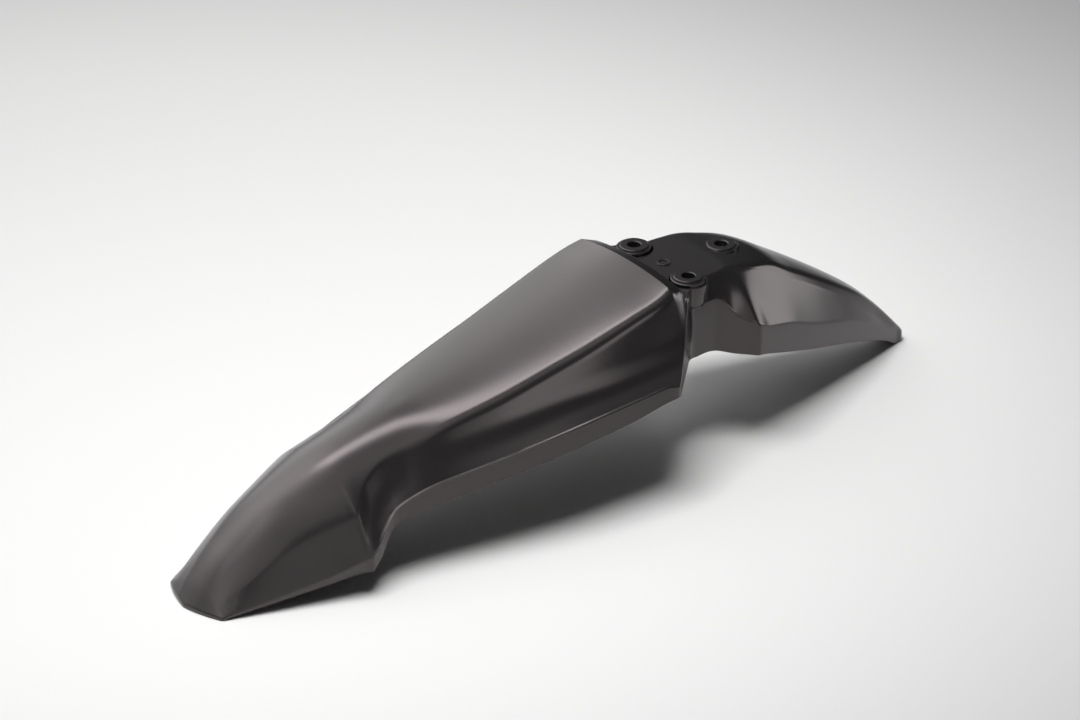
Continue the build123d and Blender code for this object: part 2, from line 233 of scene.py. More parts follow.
# Behind the waist: a raised spine, a crease at its foot, sloping shoulders and upright skirts
TAIL = SkinLines(
    top=Trace(SIZES.rest_depth, (
        (-0.1, -0.012), (0.057, -0.012), (0.118, -0.016), (0.176, -0.028), (0.237, -0.047),
        (0.34, -0.082), (0.443, -0.18), (0.565, -0.308), (0.679, -0.437), (0.782, -0.567),
        (0.882, -0.723), (1, -0.938), (1.05, -1.035))),
    edge_half=Trace(SIZES.spine_half_width, (
        (-0.1, 1), (0.118, 0.99), (0.176, 1), (0.237, 0.97), (0.34, 0.9), (0.443, 0.79), (0.565, 0.667),
        (0.679, 0.542), (0.782, 0.417), (0.882, 0.278), (1, 0.139), (1.05, 0.09))),
    edge_height=Trace(SIZES.rest_depth, (
        (-0.1, -0.018), (0.057, -0.02), (0.118, -0.023), (0.176, -0.033), (0.237, -0.056), (0.34, -0.111),
        (0.443, -0.214), (0.565, -0.34), (0.679, -0.463), (0.782, -0.587), (0.882, -0.74), (1, -0.95),
        (1.05, -1.045))),
    foot_half=Trace(SIZES.spine_half_width, (
        (-0.1, 1.1), (0.118, 1.083), (0.237, 1.07), (0.34, 1), (0.443, 0.917), (0.565, 0.806),
        (0.679, 0.667), (0.782, 0.514), (0.882, 0.333), (1, 0.194), (1.05, 0.14))),
    foot_height=Trace(SIZES.rest_depth, (
        (-0.1, -0.054), (0.057, -0.049), (0.118, -0.049), (0.176, -0.056), (0.237, -0.08), (0.34, -0.162),
        (0.443, -0.264), (0.565, -0.391), (0.679, -0.521), (0.782, -0.661), (0.882, -0.798), (1, -0.963),
        (1.05, -1.055))),
    foot_end=1.05,
    lip_half=Trace(SIZES.hip_half_width, (
        (-0.1, 1), (0.176, 1), (0.237, 0.97), (0.34, 0.87), (0.443, 0.743), (0.565, 0.621),
        (0.679, 0.507), (0.782, 0.379), (0.882, 0.257), (1, 0.13), (1.05, 0.11))),
    lip_height=Trace(SIZES.rest_depth, (
        (-0.1, -0.471), (0.057, -0.471), (0.118, -0.42), (0.147, -0.352), (0.176, -0.302),
        (0.237, -0.359), (0.34, -0.415), (0.443, -0.477), (0.565, -0.568), (0.679, -0.655),
        (0.782, -0.745), (0.882, -0.852), (1, -0.981), (1.05, -1.07))),
    roll=Trace(SIZES.spine_half_width, ((-0.1, 0.12), (0.34, 0.14), (0.679, 0.13), (1, 0.05), (1.05, 0.05))),
    bend=1.2)

# Lower edge of the lip and skirts, seen from the side
FRONT_LOWER_EDGE = Trace(SIZES.rest_depth, (
    (-0.1, -0.47), (0.1, -0.43), (0.25, -0.482), (0.4, -0.52), (0.55, -0.57), (0.7, -0.618),
    (0.8, -0.653), (0.86, -0.668), (0.9, -0.675), (0.93, -0.712), (0.96, -0.795), (1, -0.868)))
TAIL_LOWER_EDGE = Trace(SIZES.rest_depth, (
    (-0.1, -0.47), (0, -0.447), (0.05, -0.443), (0.118, -0.47), (0.19, -0.483), (0.3, -0.547),
    (0.443, -0.636), (0.65, -0.755), (0.8, -0.855), (0.9, -0.935), (0.965, -1), (1.1, -1)))


def bezier(start: Point, middle: Point, end: Point, count: int) -> np.ndarray:
    """Sample a curve with three control points.

    Args:
        start: First control point.
        middle: Second control point.
        end: Last control point.
        count: Number of points.

    Returns:
        The points, one a row.
    """
    t = np.linspace(0, 1, count)[:, None]
    a, b, c = (np.array(p, float) for p in (start, middle, end))
    return (1 - t) ** 2 * a + 2 * t * (1 - t) * b + t * t * c


def straight(start: Point, end: Point, count: int) -> np.ndarray:
    """Return evenly spread points from start to end, one a row."""
    return np.linspace(start, end, count)


def between(start: Point, end: Point, share: float) -> Point:
    """Return the point at a share of the way from start to end."""
    return (start[0] + share * (end[0] - start[0]), start[1] + share * (end[1] - start[1]))


def past(start: Point, end: Point) -> Point:
    """Return the point as far past end as start is before it."""
    return (2 * end[0] - start[0], 2 * end[1] - start[1])


def toward(start: Point, end: Point, distance: float, most: float = MOST_SHARE) -> Point:
    """Step from one point toward another.

    Args:
        start: Point to leave from.
        end: Point to head for.
        distance: Length of the step.
        most: Largest share of the way that the step may take.

    Returns:
        The point reached.
    """
    return between(start, end, min(distance / math.dist(start, end), most))


def inset(before: Point, corner: Point, after: Point, wall: float) -> Point:
    """Move a corner of a path to the path's inner side.

    Args:
        before: Point before the corner.
        corner: The corner.
        after: Point after the corner.
        wall: Distance that both sides move in.

    Returns:
        The moved corner.
    """
    sides = []
    for start, end in ((before, corner), (corner, after)):
        length = math.dist(start, end)
        sides.append(((end[1] - start[1]) / length, (start[0] - end[0]) / length))
    (ay, az), (by, bz) = sides
    reach = wall / (1 + ay * by + az * bz)
    return (corner[0] + reach * (ay + by), corner[1] + reach * (az + bz))


def quarter_drop(distance: np.ndarray, radius: float) -> np.ndarray:
    """Return how far a rounded edge falls away at a distance inside it."""
    h = np.clip(radius - distance, 0, radius)
    return radius - np.sqrt(np.maximum(radius ** 2 - h ** 2, 0))


def put_in_scene(name: str, data: bpy.types.ID) -> bpy.types.Object:
    """Make an object from its data and put it in the scene.

    Args:
        name: Name of the object.
        data: Mesh, light or camera that it shows.

    Returns:
        The new object, at the origin.
    """
    made = bpy.data.objects.new(name, data)
    bpy.context.scene.collection.objects.link(made)
    return made


def plain_mesh(name: str, verts: np.ndarray, faces: list[tuple[int, ...]]) -> bpy.types.Object:
    """Make an object from points in millimetres, merged, facing outwards and in the scene.

    Args:
        name: Name of the object.
        verts: Points in millimetres, one a row.
        faces: Corner numbers of each face.

    Returns:
        The new object, at the origin.
    """
    mesh = bpy.data.meshes.new(name)
    mesh.from_pydata((verts * MM).tolist(), [], faces)
    form = bmesh.new()
    form.from_mesh(mesh)
    bmesh.ops.remove_doubles(form, verts=form.verts, dist=MERGE_DISTANCE)
    bmesh.ops.dissolve_degenerate(form, edges=form.edges, dist=SMALLEST_EDGE)
    bmesh.ops.recalc_face_normals(form, faces=form.faces)
    form.to_mesh(mesh)
    form.free()
    return put_in_scene(name, mesh)


def settle(piece: bpy.types.Object) -> None:
    """Turn what an object's modifiers make into its plain mesh.

    Args:
        piece: Object whose modifiers are taken up into its mesh.
    """
    graph = bpy.context.evaluated_depsgraph_get()
    mesh = bpy.data.meshes.new_from_object(piece.evaluated_get(graph))
    piece.modifiers.clear()
    piece.data = mesh


def shade(piece: bpy.types.Object) -> None:
    """Shade a piece smoothly, except across its sharp creases."""
    piece.data.polygons.foreach_set("use_smooth", [True] * len(piece.data.polygons))
    piece.data.set_sharp_from_angle(angle=math.radians(CREASE_DEGREES))


def direction(heading: float, height: float) -> Vector:
    """Return the way to a heading and a height, both in radians, as a vector of length one."""
    level = math.cos(height)
    return Vector((level * math.cos(heading), level * math.sin(heading), math.sin(height)))


def feed(tree: bpy.types.NodeTree, socket: bpy.types.NodeSocket, value: object) -> None:
    """Link an input of a node to an output, or set it to a plain value.

    Args:
        tree: Node tree that the input is in.
        socket: The input.
        value: Output to link, or value to set.
    """
    if isinstance(value, bpy.types.NodeSocket):
        tree.links.new(socket, value)
    else:
        socket.default_value = value


def add_node(tree: bpy.types.NodeTree, kind: str, **inputs: object) -> bpy.types.Node:
    """Add a node and link or set its inputs by name.

    Args:
        tree: Node tree that is added to.
        kind: Node type.
        **inputs: Output or value for each named input, with underscores for spaces.

    Returns:
        The node.
    """
    made = tree.nodes.new(kind)
    for name, value in inputs.items():
        feed(tree, made.inputs[name.replace("_", " ")], value)
    return made


def add_step(
        tree: bpy.types.NodeTree, kind: Arithmetic, operation: str, *terms: object) -> bpy.types.NodeSocket:
    """Add one step of arithmetic to a node tree.

    Args:
        tree: Node tree that is added to.
        kind: Whether it works on numbers or on vectors.
        operation: Name of the step.
        *terms: Outputs or plain values that it works on.

    Returns:
        The output that gives the result.
    """
    step = tree.nodes.new(kind.value)
    step.operation = operation
    for socket, term in zip((socket for socket in step.inputs if socket.enabled), terms):
        feed(tree, socket, term)
    return next(socket for socket in step.outputs if socket.enabled)


def growing_share(
        tree: bpy.types.NodeTree, value: bpy.types.NodeSocket,
        limits: tuple[float, float]) -> bpy.types.NodeSocket:
    """Add a share that grows smoothly from 0 to 1 while a value goes from one limit to the other.

    Args:
        tree: Node tree that is added to.
        value: Output that gives the value.
        limits: Values at which the share is 0 and 1.

    Returns:
        The output that gives the share.
    """
    made = add_node(tree, "ShaderNodeMapRange", Value=value, From_Min=limits[0], From_Max=limits[1])
    made.interpolation_type = "SMOOTHSTEP"
    return made.outputs["Result"]


def mixed_colour(
        tree: bpy.types.NodeTree, share: bpy.types.NodeSocket, first: Colour,
        second: Colour) -> bpy.types.NodeSocket:
    """Add a mix of two colours.

    Args:
        tree: Node tree that is added to.
        share: Output that gives the second colour's share.
        first: Colour where the share is 0.
        second: Colour where the share is 1.

    Returns:
        The output that gives the colour.
    """
    made = tree.nodes.new("ShaderNodeMix")
    made.data_type = "RGBA"
    for name, value in (("Factor", share), ("A", (*first, 1)), ("B", (*second, 1))):
        feed(tree, made.inputs[name], value)
    return made.outputs["Result"]


def new_finish(name: str) -> tuple[bpy.types.Material, bpy.types.NodeTree, bpy.types.Node]:
    """Start a material.

    Args:
        name: Name of the material.

    Returns:
        The material, its node tree and its shader.
    """
    finish = bpy.data.materials.new(name)
    finish.use_nodes = True
    return finish, finish.node_tree, finish.node_tree.nodes["Principled BSDF"]


@dataclass(frozen=True)
class SatinPlastic:
    """Moulded satin black plastic with a faint grain and uneven polish."""

    colour: Colour = (0.0135, 0.0127, 0.0127)
    pale_colour: Colour = (0.0175, 0.0165, 0.0165)
    roughness: tuple[float, float] = (0.19, 0.25)
    flow_scale: float = 9.0
    flow_detail: float = 3.0
    grain_scale: float = 2600.0
    grain_height: float = 0.00002
    grain_strength: float = 0.25
    specular: float = 0.75
    gloss_tint: Colour = (1.0, 0.89, 0.9)

    def make(self) -> bpy.types.Material:
        """Build the finish.

        Returns:
            The material, on Object coordinates.
        """
        finish, tree, shader = new_finish("satin_black_plastic")
        shader.inputs["Specular IOR Level"].default_value = self.specular
        shader.inputs["Specular Tint"].default_value = (*self.gloss_tint, 1)
        place = tree.nodes.new("ShaderNodeTexCoord").outputs["Object"]
        flow = add_node(
            tree, "ShaderNodeTexNoise", Vector=place, Scale=self.flow_scale, Detail=self.flow_detail)
        tint = mixed_colour(tree, flow.outputs["Fac"], self.colour, self.pale_colour)
        feed(tree, shader.inputs["Base Color"], tint)
        smooth, rough = self.roughness
        polish = add_node(
            tree, "ShaderNodeMapRange", Value=flow.outputs["Fac"], To_Min=smooth, To_Max=rough)
        feed(tree, shader.inputs["Roughness"], polish.outputs["Result"])
        grain = add_node(tree, "ShaderNodeTexNoise", Vector=place, Scale=self.grain_scale)
        bump = add_node(
            tree, "ShaderNodeBump", Height=grain.outputs["Fac"], Strength=self.grain_strength,
            Distance=self.grain_height)
        feed(tree, shader.inputs["Normal"], bump.outputs["Normal"])
        return finish


@dataclass(frozen=True)
class PaleFloor:
    """Matt white studio floor whose colour greys away from one place: a painted pool of light standing in for
    the lamps' falloff.
    """

    colour: Colour = (0.88, 0.875, 0.87)
    # Painted shade: the grey that the floor's colour reaches far from the brightest place
    painted_falloff_colour: Colour = (0.4, 0.4, 0.41)
    painted_light_centre: Place = (0.3, -0.45, 0.0)
    fade: tuple[float, float] = (0.5, 1.5)
    roughness: float = 0.6
    specular: float = 0.0

    def make(self) -> bpy.types.Material:
        """Build the finish.

        Returns:
            The material of the floor.
        """
        finish, tree, shader = new_finish("pale_floor")
        shader.inputs["Roughness"].default_value = self.roughness
        shader.inputs["Specular IOR Level"].default_value = self.specular
        place = tree.nodes.new("ShaderNodeTexCoord").outputs["Object"]
        # Painted falloff of light: the floor's colour greys with distance from the brightest place
        away = add_step(tree, Arithmetic.VECTORS, "DISTANCE", place, self.painted_light_centre)
        share = growing_share(tree, away, self.fade)
        feed(tree, shader.inputs["Base Color"], mixed_colour(tree, share, self.colour, self.painted_falloff_colour))
        return finish


@dataclass
class Shell:
    """The moulded skin: crown, side channels, beak, deck, waist and tail, one wall thick."""

    sizes: Sizes
    lines: dict[Stretch, SkinLines]
    lower_edges: dict[Stretch, Trace]
    # Edges, corners and drafts, in millimetres
    edge_round: float = 0.9
    foot_round: float = 0.5
    rim_width: float = 1.9
    rim_slack: float = 0.1
    brink_width: float = 0.5
    rim_ear_gap: float = 4.0
    rim_front_fade: float = 25.0
    rim_rear_fade: float = 10.0
    sharp_corner: float = 3.0
    least_corner: float = 1.0
    bevel_drop: float = 7.0
    bevel_fade: float = 12.0
    brow_fall: float = 2.5
    draft: float = 1.4
    undercut_fade: float = 6.0
    slope_span: float = 12.0
    overrun: float = 14.0
    solid_tip: float = 12.0
    cut_radius: float = 12.0
    cut_depth: float = 50.0
    # Shares and stations
    undercut: float = 0.24
    ear_blend: float = 0.035
    wing_rear_station: float = 0.1
    lip_stations: tuple[float, float] = (0.12, 0.97)
    corner_share: float = 0.48
    least_slant: float = 0.12
    edge_shares: tuple[float, ...] = (0.7, 0.4, 0.18, 0.05, 0.0)
    # Numbers of points
    columns: tuple[int, ...] = (18, 10, 9, 9, 9)
    lip_points: int = 52
    tip_points: int = 12
    tail_points: int = 40
    brow_points: int = 30
    corner_points: int = 7
    brink_points: int = 5
    lip_wall_points: int = 5
    inner_wall_points: int = 3
    cut_segments: int = 48
    # Sections: start, end and spacing of each run, then the closer ones at the step, bevel and nose
    runs: tuple[tuple[float, float, float], ...] = (
        (-250.0, -60.0, 4.0), (-60.0, 62.0, 2.0), (62.0, 290.0, 4.0), (290.0, 334.0, 1.0),
        (334.0, 352.0, 0.6), (352.0, 456.0, 3.0))
    step_rows: tuple[float, ...] = (0.1, 0.3, 0.6, 1.0, 1.6)
    bevel_run: tuple[float, float, float] = (8.0, 18.0, 0.8)
    nose_rows_start: float = 454.0
    jump_gap: float = 0.01
    least_gap: float = 0.015
    same_place: float = 1e-6
    piece: bpy.types.Object | None = None

    def station(self, stretch: Stretch, x: float) -> float:
        """Find the station of X along a stretch.

        Args:
            stretch: Which stretch the station is on.
            x: Place along the part.

        Returns:
            The station, as the stretch's lines count it.
        """
        s = self.sizes
        if stretch is Stretch.TAIL:
            return x / s.tail_reach
        if x <= s.ear_reach:
            return (x - s.step_reach) / (s.ear_reach - s.step_reach)
        return 1 + (x - s.ear_reach) / (s.nose_reach - s.ear_reach)

    def lower_edge(self, x: float) -> float:
        """Find the height of the lower edge at X.

        Args:
            x: Place along the part.

        Returns:
            The height of the edge in millimetres.
        """
        s = self.sizes
        front, tail = self.lower_edges[Stretch.FRONT], self.lower_edges[Stretch.TAIL]
        if x >= s.ear_reach:
            share = min((x - s.ear_reach) / (s.nose_corner_reach - s.ear_reach), 1)
            ear = front.at(1)
            return ear + share * (-s.rest_depth - ear)
        if x > s.wing_rear_reach:
            return front.at(self.station(Stretch.FRONT, x))
        if x > 0:
            start, end = tail.at(0), front.at(self.wing_rear_station)
            return start + (end - start) * x / s.wing_rear_reach
        return max(tail.at(self.station(Stretch.TAIL, x)), -s.rest_depth)

    def section(self, stretch: Stretch, x: float, wall: float) -> np.ndarray:
        """Draw half of the section at X, from the middle out past the outline.

        Args:
            stretch: Which stretch's lines to follow.
            x: Place of the section.
            wall: Distance that the skin is moved in.

        Returns:
            Half widths and heights, one point a row.
        """
        skin = self.lines[stretch]
        half_span = self.slope_span / 2
        fall = skin.top.at(self.station(stretch, x - half_span))
        fall -= skin.top.at(self.station(stretch, x + half_span))
        depth = wall * math.hypot(1, fall / self.slope_span)
        s = self.station(stretch, x)
        top = skin.top.at(s)
        edge = (skin.edge_half.at(s), skin.edge_height.at(s))
        lip = (skin.lip_half.at(s), skin.lip_height.at(s))
        foot = ((edge[0] + lip[0]) / 2, (edge[1] + lip[1]) / 2)
        if s < skin.foot_end + self.ear_blend:
            last = min(s, skin.foot_end)
            channel = (skin.foot_half.at(last), skin.foot_height.at(last))
            share = max(s - skin.foot_end, 0) / self.ear_blend
            share = share * share * (3 - 2 * share)
            foot = between(channel, foot, share)
        path = ((0, 2 * top - edge[1]), edge, foot, lip, past(foot, lip))
        edge, foot, lip = (inset(*path[k:k + 3], depth) for k in range(3))
        roll = skin.roll.at(s)
        share = min(roll / edge[0], MOST_SHARE)
        apex = (0, (2 * (top - depth) - edge[1] * (1 - share)) / (1 + share))
        crown_end, face_start = toward(edge, apex, roll), toward(edge, foot, roll)
        face_end, ledge_start = toward(foot, edge, skin.bend), toward(foot, lip, skin.bend)
        out = toward(lip, past(foot, lip), self.overrun, most=math.inf)
        crown, turn, face, bend, ledge = self.columns
        arch = bezier((-crown_end[0], crown_end[1]), apex, crown_end, 2 * crown - 1)[crown - 1:]
        return np.vstack([
            arch, bezier(crown_end, edge, face_start, turn)[1:], straight(face_start, face_end, face)[1:],
            bezier(face_end, foot, ledge_start, bend)[1:], straight(ledge_start, out, ledge)[1:]])

    def top_section(self, x: float, wall: float) -> np.ndarray:
        """Draw the half section at X with the step and the deck cut into it.

        Args:
            x: Place of the section.
            wall: Distance that the skin is moved in.

        Returns:
            Half widths and heights, one point a row.
        """
        s = self.sizes
        stretch = Stretch.FRONT if x >= s.waist_front_reach + wall else Stretch.TAIL
        points = self.section(stretch, x, wall)
        step = s.step_reach + wall
        deck = -s.deck_drop - wall
        if x < step:
            points[:, 1] = np.minimum(points[:, 1], deck)
        elif x < step + s.bevel_length:
            drop = self.bevel_drop * (1 - (x - step) / s.bevel_length)
            drop += float(quarter_drop(np.array(x - step), self.edge_round))
            brow = points[self.columns[0], 1] - self.bevel_fade
            points[:, 1] -= drop * np.clip((points[:, 1] - brow) / self.bevel_fade, 0, 1)
        return points

    def outline(self, wall: float) -> np.ndarray:
        """Draw half of the outline in plan, from the tail to the nose.

        Args:
            wall: Distance that the outline is moved in.

        Returns:
            X and half width, one point a row, with X rising.
        """
        s = self.sizes
        lip = self.lines[Stretch.FRONT].lip_half
        bulge = (s.hip_half_width + s.tail_half_width) / 2 + s.tail_fullness
        points = [
            (s.tail_reach, 0), (s.tail_reach, s.tail_half_width),
            (s.tail_reach + s.tail_half_width, s.tail_half_width),
            ((s.hip_reach + s.tail_reach) / 2, bulge), (s.hip_reach, s.hip_half_width),
            (s.waist_rear_reach, s.waist_half_width), (s.waist_front_reach, s.waist_half_width),
            (s.wing_rear_reach, s.wing_half_width),
            *[(front_x(k), lip.at(k)) for k in np.linspace(*self.lip_stations, self.lip_points)],
            (s.ear_reach, s.ear_half_width), (s.nose_corner_reach, s.nose_half_width),
            (s.nose_reach - self.brow_fall, s.nose_half_width / 2), (s.nose_reach, 0)]
        ends = [(x, -y) for x, y in (points[1], points[-2])]
        around = [ends[0], *points, ends[1]]
        points = [inset(*around[k:k + 3], wall) for k in range(len(points))]
        tip, tip_middle, tail_end, tail_middle, hip = points[:5]
        corner, nose_middle, nose = points[-3:]
        tail = bezier(tail_end, tail_middle, hip, self.tail_points)
        brow = bezier(corner, nose_middle, nose, self.brow_points)
        # The corners between the two curves are rounded, and take the place of the curves' nearest points
        path = [tuple(tail[-2]), *points[4:-2], tuple(brow[3])]
        last = len(path) - 2
        sharp = max(self.sharp_corner - wall, self.least_corner)
        radii = {
            1: s.waist_radius - wall, 2: s.waist_radius + wall, 3: s.waist_radius + wall,
            4: s.corner_radius - wall, last - 1: sharp, last: sharp}
        runs = [bezier(tip, tip_middle, tail_end, self.tip_points), tail[1:-3]]
        for k in range(1, last + 1):
            runs.append(self.rounded(path[k - 1:k + 2], radii[k]) if k in radii else np.array([path[k]]))
        runs.append(brow[4:])
        drawn = [runs[0][0]]
        for point in np.vstack(runs)[1:]:
            if point[0] > drawn[-1][0] + self.same_place:
                drawn.append(point)
        return np.array(drawn)

    def rounded(self, corner: list[Point], radius: float) -> np.ndarray:
        """Round a corner of a path.

        Args:
            corner: Point before the corner, the corner and the point after it.
            radius: Radius of the rounding.

        Returns:
            Points round the corner, one a row.
        """
        a, b, c = (np.array(p, float) for p in corner)
        before, after = np.linalg.norm(a - b), np.linalg.norm(c - b)
        u, v = (a - b) / before, (c - b) / after
        half = math.acos(float(np.clip(u @ v, -1, 1))) / 2
        reach = min(radius / math.tan(half), self.corner_share * before, self.corner_share * after)
        return bezier(b + u * reach, b, b + v * reach, self.corner_points)

    @staticmethod
    def plan_distance(outline: np.ndarray, points: np.ndarray) -> np.ndarray:
        """Measure how far points are from the outline in plan.

        Args:
            outline: Half outline in plan.
            points: X and half width of the points, one a row.

        Returns:
            The distance of each point.
        """
        start, run = outline[:-1], np.diff(outline, axis=0)
        gap = points[:, None, :] - start[None]
        t = np.clip((gap * run).sum(2) / (run * run).sum(1), 0, 1)
        return np.linalg.norm(gap - t[..., None] * run, axis=2).min(1)

    def rows(self, outline: np.ndarray) -> list[float]:
        """Choose X of the sections, closer together where the form turns quickly.

        Args:
            outline: Half outline in plan.

        Returns:
            X of each section, rising.
        """
        s = self.sizes
        start, end, spacing = self.bevel_run
        bevel = (s.step_reach + start, s.step_reach + end, spacing)
        xs = [*outline[:self.tip_points, 0], *outline[outline[:, 0] > self.nose_rows_start][:, 0]]
        for run in (*self.runs, bevel):
            xs += list(np.arange(*run))
        for x in (s.waist_front_reach, s.step_reach):
            for jump in (x, x + s.wall):
                xs += [jump - self.jump_gap, jump + self.jump_gap]
        xs += [s.step_reach + d for d in self.step_rows]
        chosen: list[float] = []
        for x in sorted(float(x) for x in xs):
            if not chosen or x - chosen[-1] > self.least_gap:
                chosen.append(x)
        return chosen

    def rim_share(self, x: float) -> float:
        """Find how far the level rim along the wing's edge has grown at X.

        Args:
            x: Place along the part.

        Returns:
            0 where there is no rim and 1 where it is full.
        """
        s = self.sizes
        front = (s.ear_reach - self.rim_ear_gap - x) / self.rim_front_fade
        rear = (x - s.wing_rear_reach) / self.rim_rear_fade
        return float(np.clip(min(front, rear), 0, 1))

    def loop(self, x: float, outer: np.ndarray, inner: np.ndarray) -> np.ndarray:
        """Draw half of the closed section at X: skin, lip, lower edge and underside.

        Args:
            x: Place of the section.
            outer: Half outline in plan.
            inner: The same, one wall further in.

        Returns:
            Points of the loop in millimetres, one a row.
        """
        s = self.sizes
        share = self.rim_share(x)
        half = float(np.interp(x, outer[:, 0], outer[:, 1])) - self.draft * share
        k = int(np.clip(np.searchsorted(outer[:, 0], x), 1, len(outer) - 1))
        run = outer[k] - outer[k - 1]
        along = max(abs(run[0]) / math.hypot(*run), self.least_slant)
        low = self.lower_edge(x)
        points = self.top_section(x, 0)
        ledge = self.columns[-1] - 1
        start = max(half - self.edge_round / along, 0)
        rim = max(self.rim_width * share, self.edge_round + self.rim_slack) / along
        brink = max(half - rim - self.brink_width, 0)
        ys = np.minimum(points[:-ledge, 0], brink)
        ys = np.concatenate([
            ys, np.linspace(ys[-1], brink, self.brink_points)[1:], [max(half - rim, 0), start],
            half - (half - start) * np.array(self.edge_shares)])
        zs = np.interp(ys, points[:, 0], points[:, 1])
        level = float(np.interp(brink, points[:, 0], points[:, 1]))
        zs = np.where(ys > brink, zs + share * (level - zs), zs)
        distance = self.plan_distance(outer, np.stack([np.full_like(ys, x), ys], 1))
        zs = np.maximum(zs - quarter_drop(distance, self.edge_round), low)
        height = zs[-1] - low
        tuck = self.undercut * height * float(np.clip((x - s.ear_reach) / self.undercut_fade, 0, 1))
        tuck = min(tuck, half / 2) - self.draft * share
        lip = np.stack([
            half - tuck * np.linspace(0, 1, self.lip_wall_points),
            np.linspace(zs[-1], low, self.lip_wall_points)], 1)[1:-1]
        foot = half - tuck - min(self.foot_round, half / 2)
        edge = np.array([[half - tuck, low + min(self.foot_round, height / 2)], [foot, low]])
        under = self.underside(x, half, low, inner)
        drawn = np.vstack([np.stack([ys, zs], 1), lip, edge, under])
        return np.column_stack([np.full(len(drawn), x), drawn])

    def underside(self, x: float, half: float, low: float, inner: np.ndarray) -> np.ndarray:
        """Draw the inner wall and the ceiling at X, flat along the lower edge where the tips are solid.

        Args:
            x: Place of the section.
            half: Half width of the outer wall there.
            low: Height of the lower edge there.
            inner: Half outline in plan, one wall in.

        Returns:
            Half widths and heights from the lower edge to the middle, one point a row.
        """
        s = self.sizes
        if inner[0, 0] < x < inner[-1, 0] and x > s.tail_reach + self.solid_tip:
            reach = float(np.interp(x, inner[:, 0], inner[:, 1]))
            skin = self.top_section(x, s.wall)
            # Every second point of the skin is enough for the ceiling
            cols = np.minimum(skin[::2, 0], reach)
            cols[-1] = reach
            heights = np.maximum(np.interp(cols, skin[:, 0], skin[:, 1]), low)
        else:
            reach = max(half - s.wall, 0)
            count = (sum(self.columns) - len(self.columns)) // 2 + 1
            cols = np.linspace(0, reach, count)
            heights = np.full(count, low)
        ceiling = np.stack([cols, heights], 1)[::-1]
        rise = np.linspace(low, ceiling[0, 1], self.inner_wall_points + 1)[:-1]
        return np.vstack([np.stack([np.full(self.inner_wall_points, reach), rise], 1), ceiling])

    def build(self) -> bpy.types.Object:
        """Build the skin as one closed wall and cut its screw holes.

        Returns:
            The shell's object.
        """
        outer, inner = self.outline(0), self.outline(self.sizes.wall)
        loops = [self.loop(x, outer, inner) for x in self.rows(outer)]
        count = len(loops[0])
        verts = np.vstack(loops)
        faces = []
        for i in range(len(loops) - 1):
            for j in range(count - 1):
                a = i * count + j
                faces.append((a, a + count, a + count + 1, a + 1))
        mirrored = [tuple(k + len(verts) for k in reversed(face)) for face in faces]
        verts = np.vstack([verts, verts * [1, -1, 1]])
        self.piece = plain_mesh("mudguard_shell", verts, faces + mirrored)
        self.cut_holes()
        return self.piece

    def cut_holes(self) -> None:
        """Cut a round hole through the skin under each screw seat."""
        s = self.sizes
        half = s.bolt_spacing / 2
        radius = self.cut_radius * MM
        for x, y in ((0, half), (0, -half), (-s.rear_bolt_setback, 0)):
            form = bmesh.new()
            bmesh.ops.create_cone(
                form, cap_ends=True, segments=self.cut_segments, radius1=radius, radius2=radius,
                depth=self.cut_depth * MM)
            bmesh.ops.translate(form, verts=form.verts, vec=Vector((x, y, 0)) * MM)
            mesh = bpy.data.meshes.new("hole_cutter")
            form.to_mesh(mesh)
            form.free()
            cutter = put_in_scene("hole_cutter", mesh)
            cut = self.piece.modifiers.new("hole", "BOOLEAN")
            cut.operation = "DIFFERENCE"
            cut.solver = "EXACT"
            cut.object = cutter
            settle(self.piece)
            bpy.data.objects.remove(cutter)

    def dress(self, finish: bpy.types.Material) -> None:
        """Give the shell its finish and let it stand for the solid.

        Args:
            finish: Material of the shell.
        """
        self.piece.data.materials.clear()
        self.piece.data.materials.append(finish)
        shade(self.piece)
        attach(self.piece, "root")
        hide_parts("mudguard")


